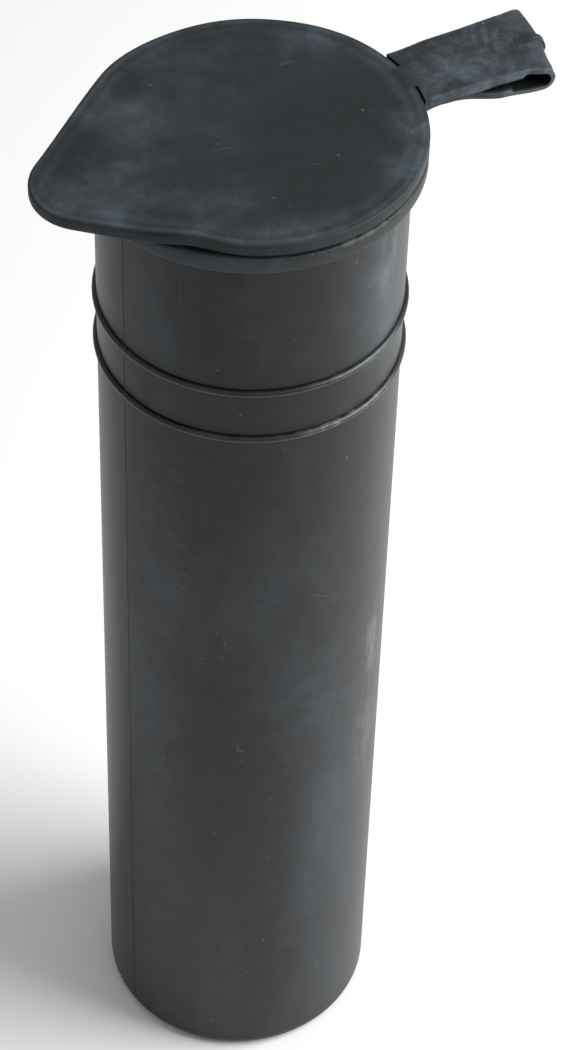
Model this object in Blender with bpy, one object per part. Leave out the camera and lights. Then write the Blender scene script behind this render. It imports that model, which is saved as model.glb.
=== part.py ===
"""Capped rubber tube: a moulded tube with a flanged mouth and a captive flip cap.

Metres, +Z up. The origin is the centre of the tube's bottom face. The cap's strap leaves
the mouth towards +X, folds back on itself and carries the lid; the lid's pull tab points
towards -X. The strap bends at both ends of its fold, so that the cap can swing over.
"""
import math

import bmesh
import bpy
from mathutils import Vector

MM = 0.001
GAP = 0.3 * MM                      # left between two pieces that meet
ROUND_STEPS = 64                    # sides of a turned piece

# tube
TUBE_R = 23.5 * MM
BORE_R = 20.75 * MM
FOOT_ROUND = 2.5 * MM
FLOOR_T = 3.0 * MM
RIB_HEIGHTS = {"upper_rib": 168.4 * MM, "lower_rib": 158.9 * MM}
RIB_W = 1.2 * MM
RIB_OUT = 0.66 * MM                 # how far a rib stands out of the tube
GROOVE_D = 0.5 * MM                 # how deep a rib is let into the tube wall

# mouth flange and lid
FLANGE_R = 26.15 * MM
FLANGE_Z0 = 194.5 * MM
FLANGE_T = 2.6 * MM
MOUTH_Z = FLANGE_Z0 + FLANGE_T
LID_R = 25.7 * MM
LID_T = 2.1 * MM
LID_Z0 = MOUTH_Z + GAP
LID_Z1 = LID_Z0 + LID_T
TIP_X = -26.5 * MM                  # centre of the pull tab's round tip
TIP_R = 8.7 * MM
TAB_HINGE_X = -23.5 * MM            # the line where the pull tab starts to bend
EDGE_SOFTEN = 0.25 * MM

# plug under the lid
PLUG_Z1 = LID_Z0 - GAP
PLUG_DEPTH = 7.0 * MM
PLUG_TOP_R = 20.15 * MM
PLUG_END_R = 19.6 * MM
PLUG_WALL = 2.2 * MM
BEAD_Z = PLUG_Z1 - 3.0 * MM
BEAD_H = 1.4 * MM
BEAD_R = 20.35 * MM
BEAD_CHAMFER = 0.2 * MM
BEAD_GROOVE_D = 0.4 * MM

# strap
FOLD_X = 45.5 * MM                 # centre of the fold's round end
FOLD_Z = 199.0 * MM
FOLD_R = 1.9 * MM                   # to the strap's outer face
WEB_T = 1.0 * MM                    # the thin stretch that bends
UPPER_T = 1.8 * MM
LOWER_T = 1.4 * MM
STRAP_ROOT_HALF = 5.8 * MM
STRAP_FOLD_HALF = 7.4 * MM
STRAP_ROOT_X = 25.5 * MM
UPPER_RISE_X = (26.0 * MM, 36.0 * MM)
UPPER_ROOT_Z = 199.5 * MM           # outer face of the upper leaf at the lid
LOWER_RISE_X = (26.5 * MM, 33.0 * MM)
LOWER_ROOT_Z = 195.0 * MM           # outer face of the lower leaf at the flange
LOWER_MID_Z = 197.1 * MM
UPPER_STEP_X = 41.7 * MM            # where the leaves step down to the thin web
LOWER_STEP_X = 40.1 * MM
STEP_RUN = 0.3 * MM
BEND_ANGLES = (math.pi / 4, 3 * math.pi / 4)   # where the round end bends, 0 is its lower side
BEND_GAP = math.radians(4.0)        # half the gap at a bend, seen from the fold's centre
RIDGE_HALF = 0.9 * MM
RIDGE_OUT = 0.75 * MM
RIDGE_ARC = math.radians(52.0)      # the ridge is shorter than the web, so that it clears the bends

RUBBERS = {
    "tube_rubber": ((0.030, 0.032, 0.033), 0.42),
    "rib_rubber": ((0.032, 0.034, 0.035), 0.38),
    "flange_rubber": ((0.028, 0.029, 0.030), 0.50),
    "lid_rubber": ((0.040, 0.044, 0.047), 0.62),
    "strap_rubber": ((0.038, 0.041, 0.044), 0.58),
    "plug_rubber": ((0.026, 0.027, 0.028), 0.50),
}


def clear_scene():
    for thing in list(bpy.data.objects):
        bpy.data.objects.remove(thing, do_unlink=True)


def rubber(slot):
    colour, roughness = RUBBERS[slot]
    material = bpy.data.materials.new(slot)
    material.use_nodes = True
    shader = material.node_tree.nodes["Principled BSDF"]
    shader.inputs["Base Color"].default_value = (*colour, 1.0)
    shader.inputs["Roughness"].default_value = roughness
    shader.inputs["Metallic"].default_value = 0.0
    return material


def finish_mesh(name, bm, slot, pivot, smooth):
    """Turn a bmesh into an object whose origin is pivot."""
    bmesh.ops.recalc_face_normals(bm, faces=bm.faces)
    bmesh.ops.translate(bm, verts=bm.verts, vec=-Vector(pivot))
    mesh = bpy.data.meshes.new(name)
    bm.to_mesh(mesh)
    bm.free()
    if smooth:
        mesh.shade_smooth()
        mesh.set_sharp_from_angle(angle=math.radians(35))
    mesh.materials.append(MATERIALS[slot])
    thing = bpy.data.objects.new(name, mesh)
    thing.location = pivot
    bpy.context.collection.objects.link(thing)
    return thing


def turned(name, profile, slot, pivot=(0, 0, 0)):
    """Turn a closed profile of (radius, height) points about Z."""
    bm = bmesh.new()
    verts = [bm.verts.new((radius, 0, height)) for radius, height in profile]
    for index, vert in enumerate(verts):
        bm.edges.new((vert, verts[(index + 1) % len(verts)]))
    bmesh.ops.spin(bm, geom=bm.verts[:] + bm.edges[:], cent=(0, 0, 0), axis=(0, 0, 1),
                   angle=2 * math.pi, steps=ROUND_STEPS, use_duplicate=False)
    bmesh.ops.remove_doubles(bm, verts=bm.verts, dist=0.01 * MM)
    return finish_mesh(name, bm, slot, pivot, smooth=True)


def plate(name, outline, z0, z1, slot, pivot=(0, 0, 0)):
    """A flat plate with softened rims from an outline of (x, y) points."""
    bm = bmesh.new()
    face = bm.faces.new([bm.verts.new((x, y, z0)) for x, y in outline])
    grown = bmesh.ops.extrude_face_region(bm, geom=[face])
    top = [item for item in grown["geom"] if isinstance(item, bmesh.types.BMVert)]
    bmesh.ops.translate(bm, verts=top, vec=(0, 0, z1 - z0))
    thing = finish_mesh(name, bm, slot, pivot, smooth=True)
    soften = thing.modifiers.new("soft_rim", "BEVEL")
    soften.width = EDGE_SOFTEN
    soften.segments = 1
    soften.limit_method = "ANGLE"
    soften.angle_limit = math.radians(60)
    return thing


def ribbon(name, stations, slot, pivot):
    """Sweep a flat section through stations of (outer point, inner point, half width).

    The points are (x, z).
    """
    bm = bmesh.new()
    rings = []
    for outer, inner, half in stations:
        section = [(-half, inner), (-half, outer), (half, outer), (half, inner)]
        rings.append([bm.verts.new((point[0], y, point[1])) for y, point in section])
    for near, far in zip(rings, rings[1:]):
        for index in range(len(near)):
            after = (index + 1) % len(near)
            bm.faces.new((near[index], near[after], far[after], far[index]))
    bm.faces.new(rings[0])
    bm.faces.new(reversed(rings[-1]))
    return finish_mesh(name, bm, slot, pivot, smooth=False)


def cut_round(thing, radius):
    """Cut away whatever of a piece lies within radius of the tube's axis."""
    bm = bmesh.new()
    bmesh.ops.create_cone(bm, cap_ends=True, segments=4 * ROUND_STEPS, radius1=radius,
                          radius2=radius, depth=4 * FLANGE_T)
    bmesh.ops.translate(bm, verts=bm.verts, vec=(0, 0, MOUTH_Z))
    mesh = bpy.data.meshes.new(thing.name + "_cutter")
    bm.to_mesh(mesh)
    bm.free()
    cutter = bpy.data.objects.new(thing.name + "_cutter", mesh)
    cutter.hide_render = True
    cutter.display_type = "WIRE"
    bpy.context.collection.objects.link(cutter)
    cut = thing.modifiers.new("round_end", "BOOLEAN")
    cut.operation = "DIFFERENCE"
    cut.solver = "EXACT"
    cut.object = cutter


def arc(centre, radius, start, end, steps):
    """Points (x, y) along an arc, angles in radians."""
    points = []
    for index in range(steps + 1):
        angle = start + (end - start) * index / steps
        points.append((centre[0] + radius * math.cos(angle),
                       centre[1] + radius * math.sin(angle)))
    return points


def ease(value, low, high):
    """0 below low, 1 above high, and a smooth rise between them."""
    t = min(max((value - low) / (high - low), 0.0), 1.0)
    return t * t * (3 - 2 * t)


def half_width(x):
    """The strap widens evenly from its root to its fold."""
    share = (x - STRAP_ROOT_X) / (FOLD_X + FOLD_R - STRAP_ROOT_X)
    return STRAP_ROOT_HALF + (STRAP_FOLD_HALF - STRAP_ROOT_HALF) * share


# ---------------------------------------------------------------- tube

def make_tube_wall():
    profile = arc((TUBE_R - FOOT_ROUND, FOOT_ROUND), FOOT_ROUND, -math.pi / 2, 0, 4)
    for middle in sorted(RIB_HEIGHTS.values()):
        low = middle - RIB_W / 2 - GAP
        high = middle + RIB_W / 2 + GAP
        profile += [(TUBE_R, low), (TUBE_R - GROOVE_D, low)]
        profile += [(TUBE_R - GROOVE_D, high), (TUBE_R, high)]
    profile += [(TUBE_R, MOUTH_Z), (BORE_R, MOUTH_Z), (BORE_R, 0.0)]
    turned("tube_wall", profile, "tube_rubber")


def make_tube_floor():
    edge = BORE_R - GAP
    bm = bmesh.new()
    bmesh.ops.create_cone(bm, cap_ends=True, segments=ROUND_STEPS, radius1=edge,
                          radius2=edge, depth=FLOOR_T)
    bmesh.ops.translate(bm, verts=bm.verts, vec=(0, 0, FLOOR_T / 2))
    finish_mesh("tube_floor", bm, "tube_rubber", (0, 0, 0), smooth=True)


def make_ribs():
    """Two half-round hoops let into the wall near the mouth."""
    inner = TUBE_R - GROOVE_D + GAP
    for name, middle in RIB_HEIGHTS.items():
        profile = [(inner, middle - RIB_W / 2), (TUBE_R, middle - RIB_W / 2)]
        profile += [(TUBE_R + RIB_OUT * math.cos(angle), middle + RIB_W / 2 * math.sin(angle))
                    for angle in (-0.9, -0.3, 0.3, 0.9)]
        profile += [(TUBE_R, middle + RIB_W / 2), (inner, middle + RIB_W / 2)]
        turned(name, profile, "rib_rubber")


def make_mouth_flange():
    inner = TUBE_R + GAP
    profile = [(inner, FLANGE_Z0), (FLANGE_R - EDGE_SOFTEN, FLANGE_Z0),
               (FLANGE_R, FLANGE_Z0 + EDGE_SOFTEN), (FLANGE_R, MOUTH_Z - EDGE_SOFTEN),
               (FLANGE_R - EDGE_SOFTEN, MOUTH_Z), (inner, MOUTH_Z)]
    turned("mouth_flange", profile, "flange_rubber")


# ---------------------------------------------------------------- cap

NECK_PIVOT = (LID_R + GAP / 2, 0, LID_Z1)
TAB_PIVOT = (TAB_HINGE_X, 0, LID_Z1)
ROOT_PIVOT = (FLANGE_R + GAP / 2, 0, LOWER_ROOT_Z)


def tangent_angle():
    """Angle from -X at which the tab's straight edges leave the lid's circle."""
    return math.acos((LID_R - TIP_R) / abs(TIP_X))


def edge_y_at(x):
    """Half width of the lid's outline where its straight edge passes x."""
    turn = tangent_angle()
    return (LID_R + x * math.cos(turn)) / math.sin(turn)


def make_lid_plate():
    turn = tangent_angle()
    chord_x = TAB_HINGE_X + GAP / 2
    outline = arc((0, 0), LID_R, -(math.pi - turn), math.pi - turn, 52)
    outline += [(chord_x, edge_y_at(chord_x)), (chord_x, -edge_y_at(chord_x))]
    plate("lid_plate", outline, LID_Z0, LID_Z1, "lid_rubber", NECK_PIVOT)


def make_pull_tab():
    turn = tangent_angle()
    chord_x = TAB_HINGE_X - GAP / 2
    outline = arc((TIP_X, 0), TIP_R, math.pi - turn, math.pi + turn, 18)
    outline += [(chord_x, -edge_y_at(chord_x)), (chord_x, edge_y_at(chord_x))]
    plate("pull_tab", outline, LID_Z0, LID_Z1, "lid_rubber", TAB_PIVOT)


def plug_radius(z):
    """The plug tapers, so that it can swing out of the bore."""
    share = (PLUG_Z1 - z) / PLUG_DEPTH
    return PLUG_TOP_R + (PLUG_END_R - PLUG_TOP_R) * share


def make_plug():
    low = PLUG_Z1 - PLUG_DEPTH
    groove_low = BEAD_Z - BEAD_H / 2 - GAP
    groove_high = BEAD_Z + BEAD_H / 2 + GAP
    profile = [(PLUG_END_R - PLUG_WALL, low), (PLUG_END_R, low)]
    profile += [(plug_radius(groove_low), groove_low), (PLUG_END_R - BEAD_GROOVE_D, groove_low)]
    profile += [(PLUG_END_R - BEAD_GROOVE_D, groove_high), (plug_radius(groove_high), groove_high)]
    profile += [(PLUG_TOP_R, PLUG_Z1), (PLUG_TOP_R - PLUG_WALL, PLUG_Z1)]
    turned("lid_plug", profile, "plug_rubber", NECK_PIVOT)
    inner = PLUG_END_R - BEAD_GROOVE_D + GAP
    profile = [(inner, BEAD_Z - BEAD_H / 2), (BEAD_R - BEAD_CHAMFER, BEAD_Z - BEAD_H / 2),
               (BEAD_R, BEAD_Z), (BEAD_R - BEAD_CHAMFER, BEAD_Z + BEAD_H / 2),
               (inner, BEAD_Z + BEAD_H / 2)]
    turned("plug_seal_bead", profile, "plug_rubber", NECK_PIVOT)


# ---------------------------------------------------------------- strap

def fold_point(angle, depth=0.0):
    """A point of the fold: 0 at the lower leaf, pi at the upper leaf."""
    radius = FOLD_R - depth
    return (FOLD_X + radius * math.sin(angle), FOLD_Z - radius * math.cos(angle))


def fold_pivot(bend):
    """A bend's hinge line, on the strap's outer face."""
    x, z = fold_point(BEND_ANGLES[bend])
    return (x, 0, z)


def fold_stations(start, end, steps=3):
    stations = []
    for index in range(steps + 1):
        angle = start + (end - start) * index / steps
        outer = fold_point(angle)
        stations.append((outer, fold_point(angle, WEB_T), half_width(outer[0])))
    return stations


def ridge_stations(start, end, steps=4):
    """The ridge runs round the fold, from inside the web to RIDGE_OUT above it."""
    stations = []
    for index in range(steps + 1):
        angle = start + (end - start) * index / steps
        stations.append((fold_point(angle, -RIDGE_OUT), fold_point(angle, WEB_T / 2), RIDGE_HALF))
    return stations


def leaf_stations(xs, outer_z, thick, thin_from, side):
    """Stations of a leaf; side is +1 where its inner face is above its outer face."""
    stations = []
    for x in xs:
        thickness = thick + (WEB_T - thick) * ease(x, thin_from, thin_from + STEP_RUN)
        z = outer_z(x)
        stations.append(((x, z), (x, z + side * thickness), half_width(x)))
    return stations


def leaf_xs(thin_from):
    """Where a leaf is given a section: evenly, and on both sides of its step."""
    run = [STRAP_ROOT_X - MM + index * 1.5 * MM for index in range(10)]
    run += [thin_from, thin_from + STEP_RUN, FOLD_X - MM]
    return run


def lower_outer_z(x):
    rise = LOWER_ROOT_Z + (LOWER_MID_Z - LOWER_ROOT_Z) * ease(x, *LOWER_RISE_X)
    return rise + (FOLD_Z - FOLD_R - LOWER_MID_Z) * ease(x, LOWER_RISE_X[1], FOLD_X)


def upper_outer_z(x):
    return UPPER_ROOT_Z + (FOLD_Z + FOLD_R - UPPER_ROOT_Z) * ease(x, *UPPER_RISE_X)


def make_fold_web():
    """The thin web that bends, and the ridge that stands on the middle of its round end."""
    start = BEND_ANGLES[0] + BEND_GAP
    end = BEND_ANGLES[1] - BEND_GAP
    web = ribbon("strap_fold", fold_stations(start, end, 8), "strap_rubber", fold_pivot(0))
    middle = (start + end) / 2
    ridge = ribbon("ridge_guide", ridge_stations(middle - RIDGE_ARC / 2, middle + RIDGE_ARC / 2),
                   "strap_rubber", fold_pivot(0))
    ridge.hide_render = True
    ridge.display_type = "WIRE"
    join = web.modifiers.new("ridge", "BOOLEAN")
    join.operation = "UNION"
    join.solver = "EXACT"
    join.object = ridge


def make_strap():
    stations = leaf_stations(leaf_xs(LOWER_STEP_X), lower_outer_z, LOWER_T, LOWER_STEP_X, 1)
    stations += fold_stations(0.0, BEND_ANGLES[0] - BEND_GAP, 4)
    lower = ribbon("strap_lower_leaf", stations, "strap_rubber", ROOT_PIVOT)
    cut_round(lower, FLANGE_R + GAP)
    make_fold_web()
    stations = leaf_stations(leaf_xs(UPPER_STEP_X), upper_outer_z, UPPER_T, UPPER_STEP_X, -1)
    stations += fold_stations(math.pi, BEND_ANGLES[1] + BEND_GAP, 4)
    upper = ribbon("strap_upper_leaf", stations, "strap_rubber", fold_pivot(1))
    cut_round(upper, LID_R + GAP)


clear_scene()
MATERIALS = {slot: rubber(slot) for slot in RUBBERS}
make_tube_wall()
make_tube_floor()
make_ribs()
make_mouth_flange()
make_lid_plate()
make_pull_tab()
make_plug()
make_strap()
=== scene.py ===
# %% [markdown]
# # A black rubber tube with a captive flip cap
# The real object is one soft moulding: a long tube, a flange round its mouth, and a flat lid
# that a folded strap holds to the flange. This lesson models it piece by piece around the
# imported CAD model, which is the fixed frame: it gives every size and every hinge.

# %% Load the frame and keep its box
import math
import bmesh
import bpy
from mathutils import Matrix, Vector
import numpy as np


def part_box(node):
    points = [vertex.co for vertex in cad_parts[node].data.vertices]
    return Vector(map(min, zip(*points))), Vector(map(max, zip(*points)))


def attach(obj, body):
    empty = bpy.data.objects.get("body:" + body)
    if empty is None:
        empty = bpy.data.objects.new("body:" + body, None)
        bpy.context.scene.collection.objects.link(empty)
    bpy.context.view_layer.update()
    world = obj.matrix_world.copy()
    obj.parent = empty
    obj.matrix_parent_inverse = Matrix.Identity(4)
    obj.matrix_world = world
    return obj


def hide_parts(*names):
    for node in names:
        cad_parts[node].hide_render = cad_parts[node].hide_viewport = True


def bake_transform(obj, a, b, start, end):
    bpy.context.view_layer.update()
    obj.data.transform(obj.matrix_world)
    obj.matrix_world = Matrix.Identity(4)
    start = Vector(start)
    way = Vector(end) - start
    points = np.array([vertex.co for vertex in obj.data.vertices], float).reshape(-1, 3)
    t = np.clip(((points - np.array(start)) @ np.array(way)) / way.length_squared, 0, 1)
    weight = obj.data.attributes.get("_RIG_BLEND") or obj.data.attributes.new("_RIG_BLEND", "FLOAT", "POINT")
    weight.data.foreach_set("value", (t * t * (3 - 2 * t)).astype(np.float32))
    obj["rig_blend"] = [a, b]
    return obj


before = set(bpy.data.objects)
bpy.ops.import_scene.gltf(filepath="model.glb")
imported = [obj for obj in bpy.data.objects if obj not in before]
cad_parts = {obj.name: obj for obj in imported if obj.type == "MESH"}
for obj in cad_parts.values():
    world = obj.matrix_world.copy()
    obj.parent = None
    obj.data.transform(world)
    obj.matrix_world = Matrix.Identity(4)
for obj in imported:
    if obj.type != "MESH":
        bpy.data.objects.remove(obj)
bpy.ops.object.select_all(action="DESELECT")
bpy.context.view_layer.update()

# %% [markdown]
# ## The camera
# Each step is easier to judge if the camera is placed first. It looks down on the tube from
# high in front of it, as one looks at a small thing on the ground, with a long lens, and it
# leans very slightly to one side.

# %% Place the camera
MM = 0.001
CAMERA_SPOT = Vector((-158.39, -339.72, 514.29)) * MM
CAMERA_TARGET = Vector((6.85, -3.37, 115.55)) * MM
CAMERA_LEAN = math.radians(2.089)

camera_data = bpy.data.cameras.new("studio_camera")
camera_data.lens = 114.64
camera_data.sensor_width = 36.0
camera = bpy.data.objects.new("studio_camera", camera_data)
bpy.context.collection.objects.link(camera)
look = (CAMERA_TARGET - CAMERA_SPOT).normalized()
level = look.cross(Vector((0, 0, 1))).normalized()
upright = level.cross(look)
camera_up = upright * math.cos(CAMERA_LEAN) - level * math.sin(CAMERA_LEAN)
camera_right = look.cross(camera_up)
axes = Matrix((camera_right, camera_up, -look)).transposed().to_4x4()
camera.matrix_world = Matrix.Translation(CAMERA_SPOT) @ axes
bpy.context.scene.camera = camera
print("camera at", [round(value, 3) for value in camera.location])

# %% [markdown]
# ## Sizes
# Every size that the CAD pieces already have is read from them, so that the new pieces can't
# drift away from the frame. Only what a box can't tell is written down here. TOUCH is how far
# a point may be from a face or a rim and still count as lying on it, and a face is level when
# its normal points up or down by more than LEVEL.

# %% Read the sizes
tube_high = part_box("tube_wall")[1]
flange_low, flange_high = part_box("mouth_flange")
lid_low, lid_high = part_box("lid_plate")
plug_low, plug_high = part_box("lid_plug")
bead_low, bead_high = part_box("plug_seal_bead")
tab_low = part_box("pull_tab")[0]
TUBE_R = tube_high.x
MOUTH_Z = tube_high.z
FLANGE_R = flange_high.x
LID_R = lid_high.x
LID_TOP = lid_high.z
LID_UNDER = lid_low.z
BORE_R = 20.75 * MM
FLOOR_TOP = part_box("tube_floor")[1].z
TIP_R = 8.7 * MM
TIP_X = tab_low.x + TIP_R
SIDES = 144
TIP_SIDES = 72
RIM_ROUND = 0.45 * MM
TOUCH = 0.1 * MM
LEVEL = 0.9
PARTING_ANGLE = math.radians(192.5)
print("tube", TUBE_R * 2 / MM, "mm across,", MOUTH_Z / MM, "mm to the mouth")

# %% [markdown]
# ## Working in edit mode from a script
# By hand one clicks the faces or edges to work on. A script has no mouse, so a small helper
# selects them by place or direction. Each test gets an element's centre and its normal.

# %% Helpers for modelling by operators
def start_edit(piece):
    """Select only this piece and enter edit mode on it."""
    bpy.ops.object.select_all(action="DESELECT")
    piece.select_set(True)
    bpy.context.view_layer.objects.active = piece
    bpy.ops.object.mode_set(mode="EDIT")


def end_edit():
    """Leave edit mode."""
    bpy.ops.object.mode_set(mode="OBJECT")


def pick_faces(test):
    """Select the faces whose centre and normal pass the test."""
    bpy.ops.mesh.select_mode(type="FACE")
    bpy.ops.mesh.select_all(action="DESELECT")
    mesh = bmesh.from_edit_mesh(bpy.context.object.data)
    count = 0
    for face in mesh.faces:
        if test(face.calc_center_median(), face.normal):
            face.select_set(True)
            count += 1
    bmesh.update_edit_mesh(bpy.context.object.data)
    return count


def pick_edges(test):
    """Select the edges whose two ends pass the test."""
    bpy.ops.mesh.select_mode(type="EDGE")
    bpy.ops.mesh.select_all(action="DESELECT")
    mesh = bmesh.from_edit_mesh(bpy.context.object.data)
    count = 0
    for edge in mesh.edges:
        if test(edge.verts[0].co, edge.verts[1].co):
            edge.select_set(True)
            count += 1
    bmesh.update_edit_mesh(bpy.context.object.data)
    return count


def settle(piece):
    """Put the object's origin at the world's, with its place in its mesh."""
    bpy.ops.object.select_all(action="DESELECT")
    piece.select_set(True)
    bpy.context.view_layer.objects.active = piece
    bpy.ops.object.transform_apply(location=True, rotation=True, scale=True)


def added(name):
    """Name the primitive just added, and settle it."""
    piece = bpy.context.active_object
    piece.name = name
    piece.data.name = name
    settle(piece)
    return piece


def apply_all(piece):
    """Apply the piece's modifiers in their order."""
    bpy.ops.object.select_all(action="DESELECT")
    piece.select_set(True)
    bpy.context.view_layer.objects.active = piece
    for modifier in list(piece.modifiers):
        bpy.ops.object.modifier_apply(modifier=modifier.name)


def smooth(piece, degrees=35):
    """Shade the piece smooth, and keep the edges that are sharper than this angle."""
    bpy.ops.object.select_all(action="DESELECT")
    piece.select_set(True)
    bpy.context.view_layer.objects.active = piece
    bpy.ops.object.shade_smooth_by_angle(angle=math.radians(degrees))


def report(piece):
    """Print how many faces a piece has and how big it is."""
    size = piece.dimensions / MM
    print(f"{piece.name}: {len(piece.data.polygons)} faces,",
          "x".join(f"{side:.1f}" for side in size), "mm")


def ease(value, low, high):
    """0 below low, 1 above high, and a smooth rise between them."""
    t = min(max((value - low) / (high - low), 0.0), 1.0)
    return t * t * (3 - 2 * t)


def radius_of(point):
    """A point's distance from the tube's axis."""
    return math.hypot(point.x, point.y)


def bisect_at(height):
    """Cut a loop of edges right through the piece at a height."""
    bpy.ops.mesh.select_all(action="SELECT")
    bpy.ops.mesh.bisect(plane_co=(0, 0, height), plane_no=(0, 0, 1))

# %% [markdown]
# ## The tube
# The tube is a plain cylinder with a closed, rounded foot. It starts as a cylinder. Its top
# is inset by the wall's thickness and pushed down inside, which leaves a real hollow with a
# floor, and the foot's edge is bevelled round. Over each hoop a narrow band of the wall is
# sunk, which gives the dark line that a moulded hoop has along its upper side. A mould leaves a
# fine seam line down two sides of such a tube: two cuts close to each other give a strip that
# is sunk a little.

# %% Model the tube
HOOP_HEIGHTS = {name: (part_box(name)[0].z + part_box(name)[1].z) / 2
                for name in ("upper_rib", "lower_rib")}
HOOP_HALF = 0.55 * MM
UNDERCUT_W = 0.28 * MM
UNDERCUT_D = 0.3 * MM
SEAM_HALF = 0.11 * MM
SEAM_D = 0.12 * MM
FOOT_ROUND = 2.5 * MM
seam_normal = Vector((-math.sin(PARTING_ANGLE), math.cos(PARTING_ANGLE), 0))

bpy.ops.mesh.primitive_cylinder_add(vertices=SIDES, radius=TUBE_R, depth=MOUTH_Z,
                                    location=(0, 0, MOUTH_Z / 2), end_fill_type="NGON")
tube = added("tube_shell")
start_edit(tube)
pick_faces(lambda centre, normal: normal.z > LEVEL)
bpy.ops.mesh.inset(thickness=TUBE_R - BORE_R)
bpy.ops.mesh.extrude_region_move(
    TRANSFORM_OT_translate={"value": (0, 0, FLOOR_TOP - MOUTH_Z)})
pick_edges(lambda a, b: max(a.z, b.z) < MM and radius_of(a) > BORE_R)
bpy.ops.mesh.bevel(offset=FOOT_ROUND, segments=8, affect="EDGES")
for height in HOOP_HEIGHTS.values():
    bisect_at(height + HOOP_HALF - TOUCH)
    bisect_at(height + HOOP_HALF + UNDERCUT_W)
    pick_faces(lambda centre, normal: radius_of(centre) > BORE_R + MM
               and HOOP_HALF - TOUCH < centre.z - height < HOOP_HALF + UNDERCUT_W)
    bpy.ops.mesh.extrude_region_shrink_fatten(
        TRANSFORM_OT_shrink_fatten={"value": -UNDERCUT_D})
for side in (-1, 1):
    bpy.ops.mesh.select_all(action="SELECT")
    bpy.ops.mesh.bisect(plane_co=seam_normal * SEAM_HALF * side, plane_no=seam_normal)
pick_faces(lambda centre, normal: abs(centre.dot(seam_normal)) < SEAM_HALF / 2
           and radius_of(centre) > TUBE_R - TOUCH and abs(normal.z) < 0.3
           and FOOT_ROUND < centre.z)
bpy.ops.mesh.extrude_region_shrink_fatten(TRANSFORM_OT_shrink_fatten={"value": -SEAM_D})
end_edit()
smooth(tube)
report(tube)

# %% [markdown]
# ## The two hoops
# Two thin hoops run round the tube under its mouth. Each is half round on the outside and
# lies flat on the wall. A torus is the natural start. Its inner half is pressed flat with a
# resize towards the wall, and a small nick is pushed in where the mould's seam crosses it.

# %% Model a hoop and copy it
HOOP_OUT = 0.66 * MM
HOOP_SINK = 0.25 * MM
NICK_HALF = 0.3 * MM
NICK_D = 0.45 * MM

bpy.ops.mesh.primitive_torus_add(major_segments=SIDES, minor_segments=16,
                                 major_radius=TUBE_R, minor_radius=HOOP_HALF,
                                 location=(0, 0, HOOP_HEIGHTS["upper_rib"]))
hoop = added("upper_hoop")
start_edit(hoop)
mesh = bmesh.from_edit_mesh(hoop.data)
for vert in mesh.verts:
    out = radius_of(vert.co) - TUBE_R
    wanted = out * HOOP_OUT / HOOP_HALF if out > 0 else max(out, -HOOP_SINK)
    scale = (TUBE_R + wanted) / radius_of(vert.co)
    vert.co.x *= scale
    vert.co.y *= scale
bmesh.update_edit_mesh(hoop.data)
for side in (-1, 0, 1):
    bpy.ops.mesh.select_all(action="SELECT")
    bpy.ops.mesh.bisect(plane_co=seam_normal * NICK_HALF * side, plane_no=seam_normal)
bpy.ops.mesh.select_mode(type="VERT")
bpy.ops.mesh.select_all(action="DESELECT")
mesh = bmesh.from_edit_mesh(hoop.data)
for vert in mesh.verts:
    if abs(vert.co.dot(seam_normal)) < NICK_HALF / 4 and radius_of(vert.co) > TUBE_R:
        vert.select_set(True)
bmesh.update_edit_mesh(hoop.data)
shrink = (TUBE_R + HOOP_OUT - NICK_D) / (TUBE_R + HOOP_OUT)
bpy.ops.transform.resize(value=(shrink, shrink, 1), center_override=(0, 0, 0))
end_edit()
smooth(hoop, 50)
bpy.ops.object.duplicate()
lower_hoop = bpy.context.active_object
lower_hoop.name = "lower_hoop"
lower_hoop.data.name = "lower_hoop"
lower_hoop.location.z = HOOP_HEIGHTS["lower_rib"] - HOOP_HEIGHTS["upper_rib"]
settle(lower_hoop)
report(hoop)
report(lower_hoop)

# %% [markdown]
# ## The mouth flange
# A thicker ring stands out round the mouth, and the lid lies on it. A short cylinder is
# inset on both faces, the two inner discs are deleted and the rims are bridged: that is the
# usual way to a ring with square corners. Its outer edges are then softened, and the soft ring
# leans a little to one side of the tube.

# %% Model the flange
FLANGE_LEAN = Vector((-0.4, 0.2, 0)) * MM

bpy.ops.mesh.primitive_cylinder_add(vertices=SIDES, radius=FLANGE_R,
                                    depth=MOUTH_Z - flange_low.z, end_fill_type="NGON",
                                    location=(0, 0, (MOUTH_Z + flange_low.z) / 2))
flange = added("mouth_ring")
start_edit(flange)
pick_faces(lambda centre, normal: abs(normal.z) > LEVEL)
bpy.ops.mesh.inset(thickness=FLANGE_R - TUBE_R, use_individual=True)
bpy.ops.mesh.delete(type="ONLY_FACE")
pick_edges(lambda a, b: max(radius_of(a), radius_of(b)) < TUBE_R + TOUCH)
bpy.ops.mesh.bridge_edge_loops()
pick_edges(lambda a, b: min(radius_of(a), radius_of(b)) > FLANGE_R - TOUCH
           and abs(a.z - b.z) < TOUCH)
bpy.ops.mesh.bevel(offset=RIM_ROUND, segments=4, affect="EDGES")
end_edit()
for vert in flange.data.vertices:
    if radius_of(vert.co) > TUBE_R + MM:
        vert.co += FLANGE_LEAN
smooth(flange, 40)
report(flange)

# %% [markdown]
# ## The lid
# Seen from above the lid is a drop: a big circle, a small circle for the pull tab's tip, and
# two straight sides that touch both. The convex hull of two discs is exactly that shape, so
# nothing has to be drawn. Its rims are bevelled round, and the whole sheet is then cut across
# into small cells, so that it can be made gently uneven as soft rubber is. The cuts are given
# as an axis with a first and a last place on it, in whole millimetres.

# %% Model the lid
LID_CELL = 2
LID_CUTS = (((1, 0, 0), -34, 25), ((0, 1, 0), -24, 24))
lid_middle = (LID_TOP + LID_UNDER) / 2
lid_depth = LID_TOP - LID_UNDER

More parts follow.
